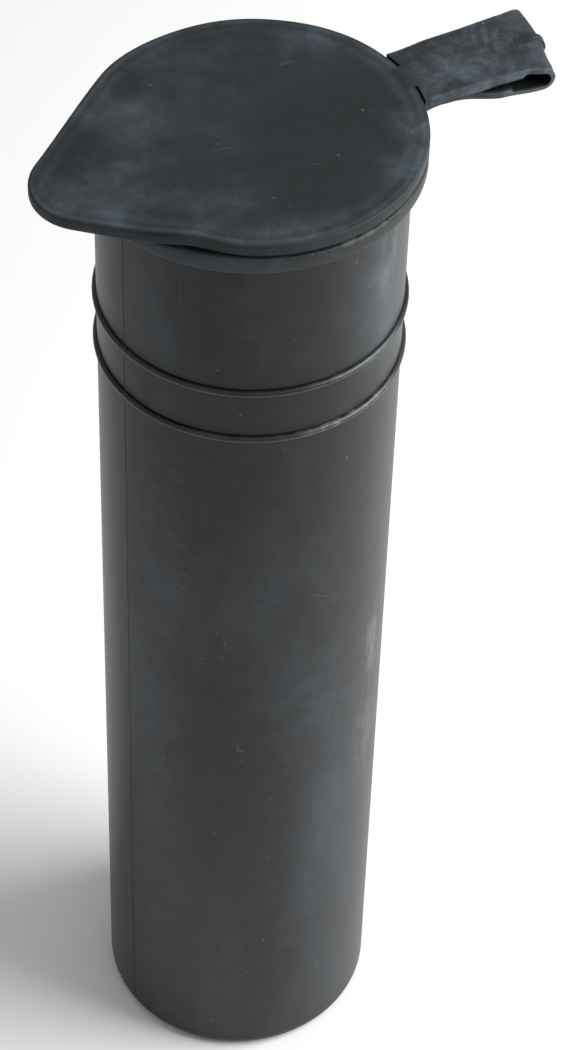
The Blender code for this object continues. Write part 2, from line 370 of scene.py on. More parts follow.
bpy.ops.mesh.primitive_cylinder_add(vertices=SIDES, radius=LID_R, depth=lid_depth,
                                    location=(0, 0, lid_middle))
lid = added("flip_lid")
start_edit(lid)
bpy.ops.mesh.primitive_cylinder_add(vertices=TIP_SIDES, radius=TIP_R, depth=lid_depth,
                                    location=(TIP_X, 0, lid_middle))
bpy.ops.mesh.select_all(action="SELECT")
bpy.ops.mesh.convex_hull()
bpy.ops.mesh.select_all(action="SELECT")
bpy.ops.mesh.dissolve_limited(angle_limit=math.radians(0.5))
print("outline faces:", len(lid.data.polygons))
pick_edges(lambda a, b: abs(a.z - b.z) < TOUCH)
bpy.ops.mesh.bevel(offset=RIM_ROUND, segments=4, affect="EDGES")
for axis, first, last in LID_CUTS:
    for place in range(first, last, LID_CELL):
        bpy.ops.mesh.select_all(action="SELECT")
        bpy.ops.mesh.bisect(plane_co=Vector(axis) * place * MM, plane_no=axis)
end_edit()

# %% [markdown]
# Soft rubber never lies quite flat. The pull tab droops a little, the side towards the neck
# is lifted by the strap, and the edge between the tab and the flange waves gently.

# %% Shape the lid as a soft sheet
TAB_DROOP = 1.5
NECK_LIFT = 0.4
TAB_DRAWN_IN = 0.5 * MM
LID_WAVES = ((-17.5, -18.8, 4.5, 0.75), (-4, 25, 9, -0.35))


def lid_lift(x, y):
    """How far the sheet stands above its flat place. A wave is (x, y, reach, rise) in mm."""
    x, y = x / MM, y / MM
    lift = NECK_LIFT * ease(x, 12, 25) - TAB_DROOP * ease(-x, 13, 36) ** 0.8
    for middle_x, middle_y, reach, rise in LID_WAVES:
        away = (x - middle_x) ** 2 + (y - middle_y) ** 2
        lift += rise * math.exp(-away / reach ** 2)
    return lift * MM


for vert in lid.data.vertices:
    vert.co.z += lid_lift(vert.co.x, vert.co.y)
    vert.co.x += TAB_DRAWN_IN * ease(-vert.co.x, 18 * MM, 33 * MM)
smooth(lid, 40)
report(lid)

# %% [markdown]
# The finish of the lid follows its outline: it is worn along the rim. The distance from the rim
# is worked out once per vertex and kept in the mesh as an attribute, which the material reads.

# %% Keep each vertex's distance from the lid's rim
def inside_rim(x, y):
    """How far (x, y) lies inside the teardrop: the hull of the disc and the tongue's tip."""
    y = abs(y)
    slope = (LID_R - TIP_R) / -TIP_X
    straight = math.sqrt(1 - slope ** 2)
    towards_tip = -x * straight - y * slope
    if towards_tip < 0:
        return LID_R - math.hypot(x, y)
    if towards_tip > -TIP_X * straight:
        return TIP_R - math.hypot(x - TIP_X, y)
    return LID_R - (y * straight - x * slope)


rim = lid.data.attributes.new("rim", "FLOAT", "POINT")
for vert in lid.data.vertices:
    rim.data[vert.index].value = max(inside_rim(vert.co.x, vert.co.y), 0) / MM
print("rim distance, mm, up to", round(max(entry.value for entry in rim.data), 2))

# %% [markdown]
# ## The plug
# Under the lid a short hollow ring enters the mouth, with a raised bead that grips the bore.
# It is made as the flange was, as a ring with square corners. Its lower end is then resized a
# little smaller, so that it finds its way in, and the bead is drawn out of a narrow band.

# %% Model the plug
EDGE_ROUND = 0.2 * MM


def soften_edges(piece, segments, degrees):
    """Round every edge that is sharper than this angle with a Bevel modifier, and apply it."""
    soften = piece.modifiers.new("soft_edges", "BEVEL")
    soften.width = EDGE_ROUND
    soften.segments = segments
    soften.limit_method = "ANGLE"
    soften.angle_limit = math.radians(degrees)
    apply_all(piece)


PLUG_TOP_R = plug_high.x
PLUG_WALL = 2.2 * MM
PLUG_END_R = 19.6 * MM
PLUG_JOIN_Z = LID_UNDER + 0.1 * MM
BEAD_Z = (bead_low.z + bead_high.z) / 2
BEAD_HALF = (bead_high.z - bead_low.z) / 2
BEAD_R = bead_high.x
BEAD_NARROWS = 0.55

bpy.ops.mesh.primitive_cylinder_add(vertices=SIDES, radius=PLUG_TOP_R, end_fill_type="NGON",
                                    depth=PLUG_JOIN_Z - plug_low.z,
                                    location=(0, 0, (PLUG_JOIN_Z + plug_low.z) / 2))
plug = added("plug_ring")
start_edit(plug)
pick_faces(lambda centre, normal: abs(normal.z) > LEVEL)
bpy.ops.mesh.inset(thickness=PLUG_WALL, use_individual=True)
bpy.ops.mesh.delete(type="ONLY_FACE")
pick_edges(lambda a, b: max(radius_of(a), radius_of(b)) < PLUG_TOP_R - PLUG_WALL / 2)
bpy.ops.mesh.bridge_edge_loops()
pick_faces(lambda centre, normal: normal.z < -LEVEL)
taper = PLUG_END_R / PLUG_TOP_R
bpy.ops.transform.resize(value=(taper, taper, 1), center_override=(0, 0, plug_low.z))
for height in (BEAD_Z - BEAD_HALF, BEAD_Z + BEAD_HALF):
    bisect_at(height)
pick_faces(lambda centre, normal: abs(centre.z - BEAD_Z) < BEAD_HALF / 2
           and radius_of(centre) > PLUG_TOP_R - PLUG_WALL / 2)
bead_out = BEAD_R / PLUG_TOP_R
bpy.ops.mesh.extrude_region_move()
bpy.ops.transform.resize(value=(bead_out, bead_out, BEAD_NARROWS),
                         center_override=(0, 0, BEAD_Z))
end_edit()
soften_edges(plug, 3, 25)
smooth(plug, 50)
report(plug)

# %% [markdown]
# ## The strap
# One flat strap leaves the flange, runs out, folds back on itself in an open loop and carries
# the lid. It is made whole: a thin upright section is extruded from station to station, and
# each new section is laid at its place along the path, wider towards the fold and thinner
# where the rubber has to bend. Loop cuts aren't needed, because every extrude leaves one.

# %% Describe the strap's path
FOLD_X = 45.4 * MM
FOLD_Z = 198.95 * MM
FOLD_R = 1.95 * MM
WEB_T = 0.8 * MM
UPPER_T = 1.8 * MM
UPPER_END_T = 1.35 * MM
LOWER_T = 1.4 * MM
FOLD_NEAR, FOLD_FAR = -6.2 * MM, 8.4 * MM
FOLD_FLARE = 0.2 * MM
FOLD_STEPS = 16
LEAF_STEPS = 12
LEAF_STEPS_TO_X = 38.2 * MM
NECK_IN_X = 22.6 * MM
ROOT_IN_X = 24.6 * MM
NECK_Z = LID_TOP + 0.42 * MM
NECK_NEAR, NECK_FAR = -1.1 * MM, 4.0 * MM
UPPER_STEP_X = 42.2 * MM
LOWER_STEP_X = 40.1 * MM
UPPER_STEP_L = 0.6 * MM
LOWER_STEP_L = 0.5 * MM


def along(value, points):
    """Read a smooth curve that is given by a few (place, value) points, all in millimetres."""
    value /= MM
    for (low, start), (high, end) in zip(points, points[1:]):
        if value < high:
            return (start + (end - start) * ease(value, low, high)) * MM
    return points[-1][1] * MM


def lower_leaf(x):
    """Outer and inner height, left edge and right edge of the lower leaf at x."""
    outer = along(x, [(25.5, 195.3), (29.5, 196.5), (38, 197.0), (45, 197.0)])
    thick = LOWER_T + (WEB_T - LOWER_T) * ease(x, LOWER_STEP_X, LOWER_STEP_X + LOWER_STEP_L)
    near = along(x, [(25, -2.4), (31, -3.0), (39, -5.6), (45, -6.2)])
    far = along(x, [(25, 8.2), (38, 8.2), (45, 8.4)])
    return outer, outer + thick, near, far


def upper_leaf(x):
    """The same for the upper leaf. Inside the lid's rim it sinks into the lid's top."""
    neck = NECK_Z / MM
    outer = along(x, [(22.6, neck - 0.3), (24.2, neck), (26, neck + 0.08), (32, 200.5),
                      (42, 200.9)])
    thick = UPPER_T
    thick += (UPPER_END_T - UPPER_T) * ease(x, 32 * MM, UPPER_STEP_X)
    thick += (WEB_T - UPPER_END_T) * ease(x, UPPER_STEP_X, UPPER_STEP_X + UPPER_STEP_L)
    near = along(x, [(25, -4.7), (36, -5.0), (43, -5.4), (45.4, -6.2)])
    far = along(x, [(25, 7.3), (36, 7.7), (43, 8.1), (45.4, 8.4)])
    return outer, outer - thick, near, far


def leaf_places(from_x, step_x):
    """Where along a leaf a section is laid."""
    even = [from_x + index * (LEAF_STEPS_TO_X - from_x) / LEAF_STEPS
            for index in range(LEAF_STEPS + 1)]
    return even + [step_x, step_x + 0.25 * MM, step_x + 0.5 * MM, FOLD_X - 2 * MM, FOLD_X - MM]


def leaf_stations(leaf, from_x, step_x):
    """Sections of (outer point, inner point, near edge, far edge) along a leaf."""
    stations = []
    for x in leaf_places(from_x, step_x):
        outer, inner, near, far = leaf(x)
        stations.append(((x, outer), (x, inner), near, far))
    return stations


def fold_stations():
    """The same round the fold, from the lower leaf over the tip to the upper leaf."""
    stations = []
    for step in range(FOLD_STEPS + 1):
        angle = math.pi * step / FOLD_STEPS
        points = [(FOLD_X + radius * math.sin(angle), FOLD_Z - radius * math.cos(angle))
                  for radius in (FOLD_R, FOLD_R - WEB_T)]
        flare = FOLD_FLARE * math.sin(angle)
        stations.append((points[0], points[1], FOLD_NEAR - flare, FOLD_FAR + flare))
    return stations


def skewed(x, y):
    """The fold line isn't square to the strap: its near end lies closer to the lid."""
    back = along(y, [(-6.5, -1.1), (-3.4, -0.5), (2.5, 0.7), (6, 0.9)])
    return x + back * ease(x, 31 * MM, 43 * MM)


print("the fold is", round(2 * FOLD_R / MM, 2), "mm high and its tip stands",
      round((FOLD_X + FOLD_R) / MM, 2), "mm from the tube's axis")

# %% [markdown]
# Each point of the first section remembers how far across the strap it is and whether it is
# on the outer or the inner face. Extruding copies that memory to the new points, so a helper
# can lay any section without caring about the order of its points. The strap is made as two
# runs, one from each leaf, and both go past the fold's tip so that they can be cut to meet.

# %% Extrude the strap
COLUMNS = (-1, -0.92, -0.75, -0.5, -0.28, -0.085, 0.085, 0.28, 0.5, 0.75, 0.92, 1)


def lay_section(station):
    """Move the selected section to its place on the path."""
    outer, inner, near, far = station
    mesh = bmesh.from_edit_mesh(bpy.context.object.data)
    across = mesh.verts.layers.float["across"]
    depth = mesh.verts.layers.float["depth"]
    for vert in mesh.verts:
        if vert.select:
            x = outer[0] + (inner[0] - outer[0]) * vert[depth]
            z = outer[1] + (inner[1] - outer[1]) * vert[depth]
            y = near + (far - near) * (vert[across] + 1) / 2
            vert.co = (skewed(x, y), y, z)
    bmesh.update_edit_mesh(bpy.context.object.data)


def extrude_run(name, stations):
    """Extrude one run of the strap through its stations."""
    bpy.ops.mesh.primitive_grid_add(x_subdivisions=len(COLUMNS) - 1, y_subdivisions=1, size=2)
    run = added(name)
    start_edit(run)
    mesh = bmesh.from_edit_mesh(run.data)
    across = mesh.verts.layers.float.new("across")
    depth = mesh.verts.layers.float.new("depth")
    for vert in mesh.verts:
        column = round((vert.co.x + 1) / 2 * (len(COLUMNS) - 1))
        vert[across] = COLUMNS[column]
        vert[depth] = 0.0 if vert.co.y < 0 else 1.0
    bmesh.update_edit_mesh(run.data)
    bpy.ops.mesh.select_all(action="SELECT")
    lay_section(stations[0])
    for station in stations[1:]:
        bpy.ops.mesh.extrude_region_move()
        lay_section(station)
    bpy.ops.mesh.select_all(action="SELECT")
    bpy.ops.mesh.normals_make_consistent(inside=False)
    end_edit()
    return run


SHARED_STATIONS = 11
fold = fold_stations()
lower_run = extrude_run("lower_run", leaf_stations(lower_leaf, ROOT_IN_X, LOWER_STEP_X)
                        + fold[:SHARED_STATIONS])
upper_run = extrude_run("upper_run", leaf_stations(upper_leaf, NECK_IN_X, UPPER_STEP_X)
                        + list(reversed(fold))[:SHARED_STATIONS])
report(lower_run)
report(upper_run)

# %% [markdown]
# A low ridge runs over the middle of the fold. The outer faces of the middle column are
# extruded along their normals, the ridge's start is lowered to a slope, and a bevel then takes
# the hardness off every edge.

# %% Raise the ridge and soften the strap
RIDGE_FROM_X = 43.6 * MM
RIDGE_OUT = 0.42 * MM
RIDGE_SHARE = 0.09
RIDGE_RISE = 0.7 * MM
RIDGE_LOW = 0.75
RIDGE_DROP = 0.85


def pick_ridge():
    """Select the outer faces of the middle column, from before the fold to its lower side."""
    bpy.ops.mesh.select_mode(type="FACE")
    bpy.ops.mesh.select_all(action="DESELECT")
    mesh = bmesh.from_edit_mesh(bpy.context.object.data)
    across = mesh.verts.layers.float["across"]
    depth = mesh.verts.layers.float["depth"]
    for face in mesh.faces:
        middle = all(abs(vert[across]) < RIDGE_SHARE and vert[depth] == 0 for vert in face.verts)
        centre = face.calc_center_median()
        if middle and centre.x > RIDGE_FROM_X and centre.z > FOLD_Z - FOLD_R * RIDGE_LOW:
            face.select_set(True)
    bmesh.update_edit_mesh(bpy.context.object.data)


for run in (lower_run, upper_run):
    start_edit(run)
    pick_ridge()
    bpy.ops.mesh.extrude_region_shrink_fatten(
        TRANSFORM_OT_shrink_fatten={"value": RIDGE_OUT})
    mesh = bmesh.from_edit_mesh(run.data)
    for vert in mesh.verts:
        if vert.select and vert.co.z > FOLD_Z and vert.co.x < RIDGE_FROM_X + RIDGE_RISE:
            vert.co.z -= RIDGE_OUT * RIDGE_DROP
    bmesh.update_edit_mesh(run.data)
    end_edit()
    soften_edges(run, 2, 40)
    report(run)

# %% [markdown]
# Two short slits part the strap from the lid and leave the narrow neck that bends. A disc a
# little larger than the lid is cut off square beside the neck, once for each side of it, and
# both halves are subtracted from the strap. What stays between them is the neck.

# %% Cut the slits
SLIT_W = 0.25 * MM
CUTTER_DEPTH = 8 * MM


def slit_cutter(edge_y, side):
    """The part of a disc round the lid that lies beyond edge_y on one side of the neck."""
    bpy.ops.mesh.primitive_cylinder_add(vertices=2 * SIDES, radius=LID_R + SLIT_W,
                                        depth=CUTTER_DEPTH, location=(0, 0, LID_TOP))
    cutter = added("slit_cutter")
    start_edit(cutter)
    bpy.ops.mesh.select_all(action="SELECT")
    bpy.ops.mesh.bisect(plane_co=(0, edge_y, 0), plane_no=(0, side, 0),
                        use_fill=True, clear_inner=True)
    end_edit()
    return cutter


def subtract(piece, cutter):
    """Cut one closed shape out of a piece, and remove the cutter."""
    cut = piece.modifiers.new("cut", "BOOLEAN")
    cut.operation = "DIFFERENCE"
    cut.solver = "EXACT"
    cut.object = cutter
    apply_all(piece)
    bpy.data.objects.remove(cutter, do_unlink=True)


subtract(upper_run, slit_cutter(NECK_NEAR, -1))
subtract(upper_run, slit_cutter(NECK_FAR, 1))
report(upper_run)

# %% [markdown]
# The strap crosses four hinges, and a piece can bend over only one. So each run is copied,
# and the copies are bisected down to their own stretch. Each two neighbours are cut in the same
# plane, so their ends meet.

# %% Part the strap between its hinges
MID_LOWER_X = 35.6 * MM
MID_UPPER_X = 36.4 * MM
BEND_FROM_X = 44 * MM


def bisect_at_x(x, keep):
    """Cut the piece square across at x and keep the side that keep points to."""
    bpy.ops.mesh.select_all(action="SELECT")
    bpy.ops.mesh.bisect(plane_co=(x, 0, 0), plane_no=(keep, 0, 0), use_fill=True,
                        clear_inner=True)


def stretch(run, name, mid_x, keep, side):
    """A copy of a run, cut at mid_x, and where the fold turns over if it reaches that far."""
    bpy.ops.object.select_all(action="DESELECT")
    run.select_set(True)
    bpy.context.view_layer.objects.active = run
    bpy.ops.object.duplicate()
    piece = bpy.context.active_object
    piece.name = name
    piece.data.name = name
    start_edit(piece)
    bisect_at_x(mid_x, keep)
    if side:
        pick_faces(lambda centre, normal: centre.x > BEND_FROM_X)
        bpy.ops.mesh.bisect(plane_co=(0, 0, FOLD_Z), plane_no=(0, 0, side), use_fill=True,
                            clear_inner=True)
    end_edit()
    smooth(piece, 45)
    report(piece)
    return piece


strap_root = stretch(lower_run, "strap_root", MID_LOWER_X, -1, 0)
strap_bend_low = stretch(lower_run, "strap_bend_low", MID_LOWER_X, 1, -1)
strap_bend_high = stretch(upper_run, "strap_bend_high", MID_UPPER_X, 1, 1)
strap_neck = stretch(upper_run, "strap_neck", MID_UPPER_X, -1, 0)
for run in (lower_run, upper_run):
    bpy.data.objects.remove(run, do_unlink=True)

# %% [markdown]
# ## Finishes that several pieces share
# Black rubber is never one flat colour. It carries a grey-blue bloom in soft patches, a fine
# grain from the mould, and a few bright specks of dust. Each of these is one node group with
# named inputs, placed in every material with its own values. Three helpers come first: one
# makes an empty group, one adds a node with its settings, and one does a sum on two sockets.

# %% Helpers for node trees
def new_group(name, inputs, outputs):
    """A node group with (name, kind, value) inputs and (name, kind) outputs."""
    group = bpy.data.node_groups.new(name, "ShaderNodeTree")
    for label, kind, value in inputs:
        entry = group.interface.new_socket(name=label, in_out="INPUT", socket_type=kind)
        if value is not None:
            entry.default_value = value
    for label, kind in outputs:
        group.interface.new_socket(name=label, in_out="OUTPUT", socket_type=kind)
    return group, group.nodes.new("NodeGroupInput"), group.nodes.new("NodeGroupOutput")


def node(tree, kind, **settings):
    """Add a node and set its properties."""
    made = tree.nodes.new(kind)
    for key, value in settings.items():
        setattr(made, key, value)
    return made


def maths(tree, operation, first, second):
    """A Math node on two sockets or numbers."""
    made = node(tree, "ShaderNodeMath", operation=operation)
    for socket, value in zip(made.inputs, (first, second)):
        if isinstance(value, (int, float)):
            socket.default_value = value
        else:
            tree.links.new(value, socket)
    return made.outputs[0]


# %% [markdown]
# Bloom is wax that has crept out of the rubber. It lies in clouds with broken borders. A noise
# gives such clouds when only the middle of its values is spread from 0 to 1.

# %% Soft patches of bloom
def make_patches():
    """Soft-edged patches: 1 inside a patch, 0 outside, with broken borders."""
    group, given, result = new_group(
        "rubber_patches",
        [("Vector", "NodeSocketVector", None), ("Scale", "NodeSocketFloat", 60.0),
         ("Detail", "NodeSocketFloat", 5.0), ("From", "NodeSocketFloat", 0.45),
         ("To", "NodeSocketFloat", 0.7)], [("Mask", "NodeSocketFloat")])
    noise = node(group, "ShaderNodeTexNoise")
    noise.inputs["Roughness"].default_value = 0.62
    noise.inputs["Distortion"].default_value = 0.4
    spread = node(group, "ShaderNodeMapRange", interpolation_type="SMOOTHSTEP")
    group.links.new(given.outputs["Vector"], noise.inputs["Vector"])
    group.links.new(given.outputs["Scale"], noise.inputs["Scale"])
    group.links.new(given.outputs["Detail"], noise.inputs["Detail"])
    group.links.new(noise.outputs["Fac"], spread.inputs["Value"])
    group.links.new(given.outputs["From"], spread.inputs["From Min"])
    group.links.new(given.outputs["To"], spread.inputs["From Max"])
    group.links.new(spread.outputs["Result"], result.inputs["Mask"])
    return group


patches = make_patches()
print("node group:", patches.name)

# %% [markdown]
# Dust and grit sit on the rubber as single dots, with clean rubber between them. Every cell of
# a Voronoi pattern has a colour of its own by chance: one channel chooses the few cells that
# hold a dot, and another makes the dots unequal.

# %% Specks of dust
def make_specks():
    """Sparse dots of dust: a few cells of a Voronoi pattern hold one small round dot."""
    group, given, result = new_group(
        "dust_specks",
        [("Vector", "NodeSocketVector", None), ("Scale", "NodeSocketFloat", 400.0),
         ("Size", "NodeSocketFloat", 0.12), ("Share", "NodeSocketFloat", 0.04)],
        [("Mask", "NodeSocketFloat")])
    cells = node(group, "ShaderNodeTexVoronoi")
    group.links.new(given.outputs["Vector"], cells.inputs["Vector"])
    group.links.new(given.outputs["Scale"], cells.inputs["Scale"])
    parts = node(group, "ShaderNodeSeparateColor")
    group.links.new(cells.outputs["Color"], parts.inputs["Color"])
    chosen = maths(group, "LESS_THAN", parts.outputs[0], given.outputs["Share"])
    reach = maths(group, "MULTIPLY", parts.outputs[1], given.outputs["Size"])
    inside = maths(group, "LESS_THAN", cells.outputs["Distance"], reach)
    group.links.new(maths(group, "MULTIPLY", chosen, inside), result.inputs["Mask"])
    return group


specks = make_specks()
print("node group:", specks.name)

# %% [markdown]
# A steel mould leaves its own fine grain on rubber, and handling adds shallow, wider dents. Two
# noises of different size give both. They are added up to one height, which a Bump node reads.

# %% The mould's grain
DENT_WIDTH = 0.12


def make_grain():
    """The mould's fine grain and shallow dents, added up to one height."""
    group, given, result = new_group(
        "mould_grain",
        [("Vector", "NodeSocketVector", None), ("Scale", "NodeSocketFloat", 900.0),
         ("Dents", "NodeSocketFloat", 0.5)], [("Height", "NodeSocketFloat")])
    fine = node(group, "ShaderNodeTexNoise")
    fine.inputs["Detail"].default_value = 4.0
    wide = node(group, "ShaderNodeTexNoise")
    wide.inputs["Detail"].default_value = 3.0
    group.links.new(given.outputs["Vector"], fine.inputs["Vector"])
    group.links.new(given.outputs["Scale"], fine.inputs["Scale"])
    group.links.new(given.outputs["Vector"], wide.inputs["Vector"])
    group.links.new(maths(group, "MULTIPLY", given.outputs["Scale"], DENT_WIDTH),
                    wide.inputs["Scale"])
    dents = maths(group, "MULTIPLY", wide.outputs["Fac"], given.outputs["Dents"])
    group.links.new(maths(group, "ADD", fine.outputs["Fac"], dents), result.inputs["Height"])
    return group


grain = make_grain()
print("node group:", grain.name)

# %% [markdown]
# Hands and packing rub a piece in some areas and not in others. A soft spot says where: the
# distance from its centre is divided by its reach along each axis, which makes it an oval.

# %% Soft oval spots
def make_spot():
    """One soft oval area: 1 at its centre and 0 at its reach."""
    group, given, result = new_group(
        "soft_spot",
        [("Vector", "NodeSocketVector", None), ("Centre", "NodeSocketVector", None),
         ("Reach", "NodeSocketVector", None)], [("Mask", "NodeSocketFloat")])
    shift = node(group, "ShaderNodeVectorMath", operation="SUBTRACT")
    share = node(group, "ShaderNodeVectorMath", operation="DIVIDE")
    length = node(group, "ShaderNodeVectorMath", operation="LENGTH")
    fade = node(group, "ShaderNodeMapRange", interpolation_type="SMOOTHSTEP")
    fade.inputs["To Min"].default_value = 1.0
    fade.inputs["To Max"].default_value = 0.0
    group.links.new(given.outputs["Vector"], shift.inputs[0])
    group.links.new(given.outputs["Centre"], shift.inputs[1])
    group.links.new(shift.outputs[0], share.inputs[0])
    group.links.new(given.outputs["Reach"], share.inputs[1])
    group.links.new(share.outputs[0], length.inputs[0])
    group.links.new(length.outputs["Value"], fade.inputs["Value"])
    group.links.new(fade.outputs["Result"], result.inputs["Mask"])
    return group


soft_spot = make_spot()
print("node group:", soft_spot.name)

# %% [markdown]
# Rims are worn in a narrow line. The group takes any value that runs across the rim, such as
# the attribute that the lid carries, and gives 1 where that value is Middle.

# %% Worn lines
def make_band():
    """A worn line where a value is near Middle, broken up by Break."""
    group, given, result = new_group(
        "worn_line",
        [("Value", "NodeSocketFloat", 0.0), ("Middle", "NodeSocketFloat", 1.0),
         ("Half Width", "NodeSocketFloat", 0.5), ("Break", "NodeSocketFloat", 1.0)],
        [("Mask", "NodeSocketFloat")])
    away = maths(group, "ABSOLUTE", maths(group, "SUBTRACT", given.outputs["Value"],
                                          given.outputs["Middle"]), 0)
    near = maths(group, "SUBTRACT", 1.0,
                 maths(group, "DIVIDE", away, given.outputs["Half Width"]))
    kept = maths(group, "MAXIMUM", near, 0.0)
    group.links.new(maths(group, "MULTIPLY", kept, given.outputs["Break"]),
                    result.inputs["Mask"])
    return group


worn_line = make_band()
print("node group:", worn_line.name)

# %% [markdown]
# Scratches are thin, short and nearly straight. Where a noise crosses its middle value it draws
# contour lines. Stretching the noise straightens them, and a second noise keeps only a few.

# %% Fine scratches
SCRATCH_TURN = (0.25, 0.2, 0.45)
SCRATCH_STRETCH = (0.16, 1.0, 1.3)
SCRATCH_PLACES = 1.7
SCRATCHED_ABOVE = 0.64


def make_scratches():
    """Short fine scratches: thin contour lines of a stretched noise, kept only in places."""
    group, given, result = new_group(
        "fine_scratches",
        [("Vector", "NodeSocketVector", None), ("Scale", "NodeSocketFloat", 90.0),
         ("Thickness", "NodeSocketFloat", 0.006)], [("Mask", "NodeSocketFloat")])
    lines = node(group, "ShaderNodeTexNoise")
    lines.inputs["Detail"].default_value = 1.0
    keep = node(group, "ShaderNodeTexNoise")
    keep.inputs["Detail"].default_value = 2.0
    drawn = node(group, "ShaderNodeMapping")
    drawn.inputs["Rotation"].default_value = SCRATCH_TURN
    drawn.inputs["Scale"].default_value = SCRATCH_STRETCH
    group.links.new(given.outputs["Vector"], drawn.inputs["Vector"])
    group.links.new(drawn.outputs["Vector"], lines.inputs["Vector"])
    group.links.new(given.outputs["Scale"], lines.inputs["Scale"])
    group.links.new(given.outputs["Vector"], keep.inputs["Vector"])
    group.links.new(maths(group, "MULTIPLY", given.outputs["Scale"], SCRATCH_PLACES),
                    keep.inputs["Scale"])
    away = maths(group, "ABSOLUTE", maths(group, "SUBTRACT", lines.outputs["Fac"], 0.5), 0)
    thin = maths(group, "LESS_THAN", away, given.outputs["Thickness"])
    place = maths(group, "GREATER_THAN", keep.outputs["Fac"], SCRATCHED_ABOVE)
    group.links.new(maths(group, "MULTIPLY", thin, place), result.inputs["Mask"])
    return group


scratches = make_scratches()
print("node groups so far:", len(bpy.data.node_groups))

# %% [markdown]
# ## One rubber, six finishes
# All the pieces are the same compound, so their materials have the same build: a dark base,
# bloom over it in two sizes of patch, scratches and specks on top, a roughness that follows the
# bloom, and the grain as a bump. What differs is how matte, how bloomed and how worn each one
# is, where hands and packing have rubbed it, and where light and shade are painted into its
# colour. First come the colours, as linear values, and the helpers that place a group and mix a
# colour.

# %% Colours and helpers for materials
# BLOOM_AND_HIGHLIGHT also paints a highlight on the tube beside its seam.
BLOOM_AND_HIGHLIGHT = (0.072, 0.092, 0.113)
# SCUFF_AND_HIGHLIGHT also paints a highlight along the flange's lip.
SCUFF_AND_HIGHLIGHT = (0.30, 0.31, 0.32)
DUST = (0.17, 0.18, 0.18)
# PAINTED_INNER_SHADE is painted shade for the strap's inner face, inside the loop.
PAINTED_INNER_SHADE = (0.0035, 0.0040, 0.0042)
RUST_DUST = (0.065, 0.050, 0.042)


def placed(tree, group, vector, **values):
    """Place a node group, give it its vector and its values, and return its output."""
    made = node(tree, "ShaderNodeGroup", node_tree=group)
    tree.links.new(vector, made.inputs[0])
    for label, value in values.items():
        socket = made.inputs[label.replace("_", " ")]
        if isinstance(value, bpy.types.NodeSocket):
            tree.links.new(value, socket)
        else:
            socket.default_value = value
    return made.outputs[0]


def tint(tree, share, under, over):
    """Mix a colour over another where share says so."""
    mix = node(tree, "ShaderNodeMix", data_type="RGBA", blend_type="MIX")
    tree.links.new(share, mix.inputs["Factor"])
    for socket, value in ((mix.inputs[6], under), (mix.inputs[7], over)):
        if isinstance(value, tuple):
            socket.default_value = (*value, 1.0)
        else:
            tree.links.new(value, socket)
    return mix.outputs[2]


def spot_mask(tree, place, centre, reach):
    """Place one soft spot. Its centre and its reach are in millimetres."""
    return placed(tree, soft_spot, place, Centre=tuple(value * MM for value in centre),
                  Reach=tuple(value * MM for value in reach))


def product(tree, first, second, third):
    """Multiply three sockets or numbers."""
    return maths(tree, "MULTIPLY", maths(tree, "MULTIPLY", first, second), third)


print("bloom colour:", BLOOM_AND_HIGHLIGHT, "scuff colour:", SCUFF_AND_HIGHLIGHT)

# %% [markdown]
# How bloomed the rubber is at each point is one mask. Broad and small clouds start it. Spots
# add bloom or wipe it off, and a rim's worn lines add to it. Beside the tube's seam one bloomed
# spot is a painted highlight and one clean spot is painted shade. The same clouds break up every
# mark, because nothing on rubber has an even edge.

# %% Lay the bloom, and the tube's painted highlight and shade
SMALL_CLOUDS = 5
BROAD_PART, SMALL_PART = 0.7, 0.3
BREAK_BROAD, BREAK_SMALL, BREAK_LEAST = 0.6, 0.5, 0.3


def cloud_masks(tree, place, stretched, patch_scale):
    """Broad and small clouds, and the cloudiness that breaks up the marks."""
    broad = placed(tree, patches, stretched, Scale=patch_scale, Detail=6.0, From=0.42, To=0.72)
    small = placed(tree, patches, place, Scale=patch_scale * SMALL_CLOUDS, Detail=4.0,
                   From=0.38, To=0.75)
    both = maths(tree, "ADD", maths(tree, "MULTIPLY", broad, BROAD_PART),
                 maths(tree, "MULTIPLY", small, SMALL_PART))
    broken = maths(tree, "ADD", maths(tree, "MULTIPLY", small, BREAK_SMALL),
                   maths(tree, "ADD", maths(tree, "MULTIPLY", broad, BREAK_BROAD),
                         BREAK_LEAST))
    return both, broken


def lay_spots(tree, place, mask, broken, blooms_and_highlight, cleans_and_shade):
    """Add the bloomed spots to the mask, and wipe the clean ones off it. On the tube one bloomed spot paints
    a highlight and one clean spot paints shade.
    """
    for centre, reach, strength in blooms_and_highlight:
        more = product(tree, spot_mask(tree, place, centre, reach), broken, strength)
        mask = maths(tree, "ADD", mask, more)
    for centre, reach, strength in cleans_and_shade:
        wiped_and_shaded = maths(tree, "MULTIPLY", spot_mask(tree, place, centre, reach), strength)
        mask = maths(tree, "MULTIPLY", mask, maths(tree, "SUBTRACT", 1.0, wiped_and_shaded))
    return mask


def lay_worn_lines(tree, mask, broken, rim, worn):
    """Add the worn lines along a rim. The attribute named rim says how far away it is."""
    distance = node(tree, "ShaderNodeAttribute", attribute_name=rim).outputs["Fac"]
    for middle, half_width, strength in worn:
        line = placed(tree, worn_line, distance, Middle=middle, Half_Width=half_width,
                      Break=broken)
        mask = maths(tree, "ADD", mask, maths(tree, "MULTIPLY", line, strength))
    return mask


print("bloom: broad clouds", BROAD_PART, "and small clouds", SMALL_PART)

# %% [markdown]
# The colour is built in layers, as dirt and wear lie on the real thing, with painted light
# among them: bloom on the bare rubber, with a painted highlight and painted shade beside the
# tube's seam, pale scuffs in streaks, with a painted highlight on the flange's lip, painted
# shade on the strap's inner face, where no light gets in, and then scratches, rusty grit and
# grey dust on top.

